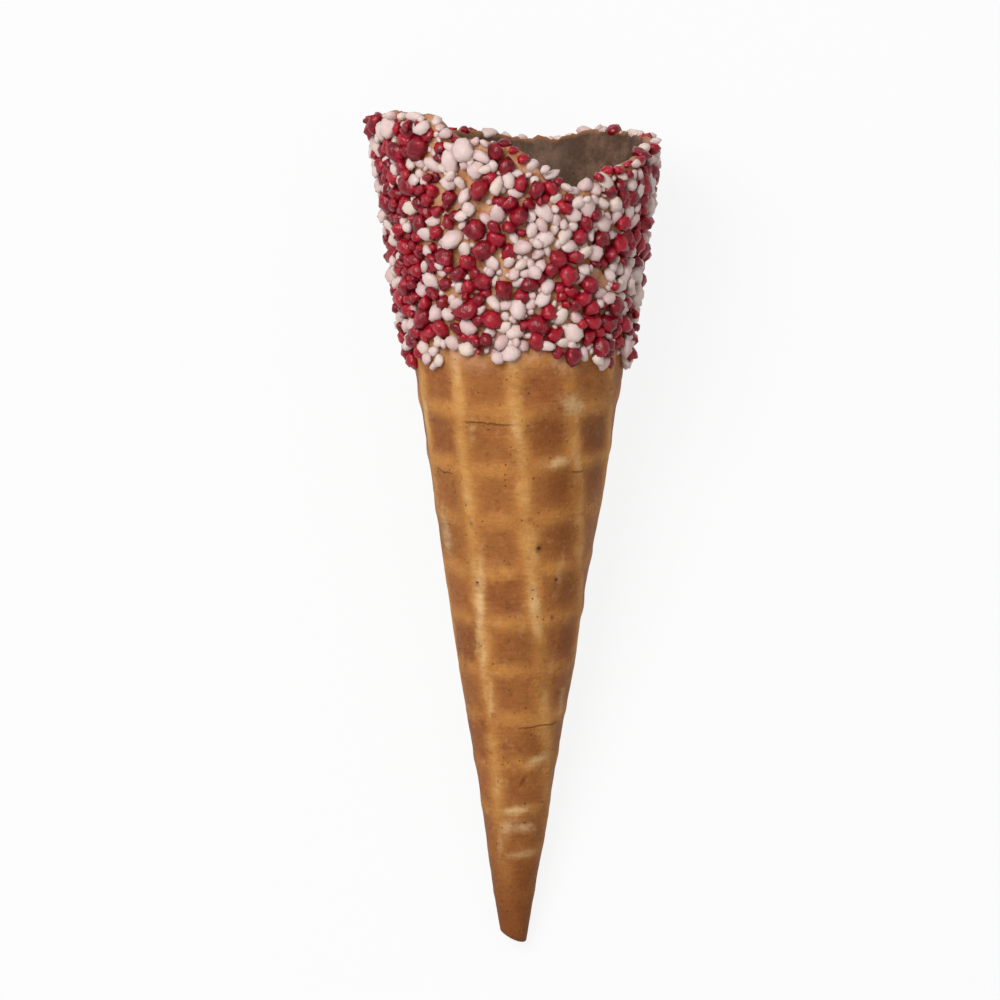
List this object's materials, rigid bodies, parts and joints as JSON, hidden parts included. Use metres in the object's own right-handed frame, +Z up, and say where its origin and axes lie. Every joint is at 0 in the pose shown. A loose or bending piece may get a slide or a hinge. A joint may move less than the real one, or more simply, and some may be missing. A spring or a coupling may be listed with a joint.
{
  "type": "ice cream cone",
  "caption": "Empty rolled waffle cone lying on its side, with a pressed grid, a spiral sheet edge, a wavy rim and a crunchy coating around its mouth; it holds ice cream.",
  "frame": {"origin": "centre of the bounding box at the table the cone lies on", "axes": "+Y along the table from the tip to the mouth, +Z up, +X to the right when seen from above with the mouth at the top"},
  "size_m": [0.0594, 0.1652, 0.0582],
  "materials": {
    "baked_wafer": "baked, matt",
    "crunch": "rough, slightly glossy"
  },
  "bodies": {
    "root": {"wafer_cone": "baked_wafer", "crunch_band": "crunch"}
  },
  "joints": []
}
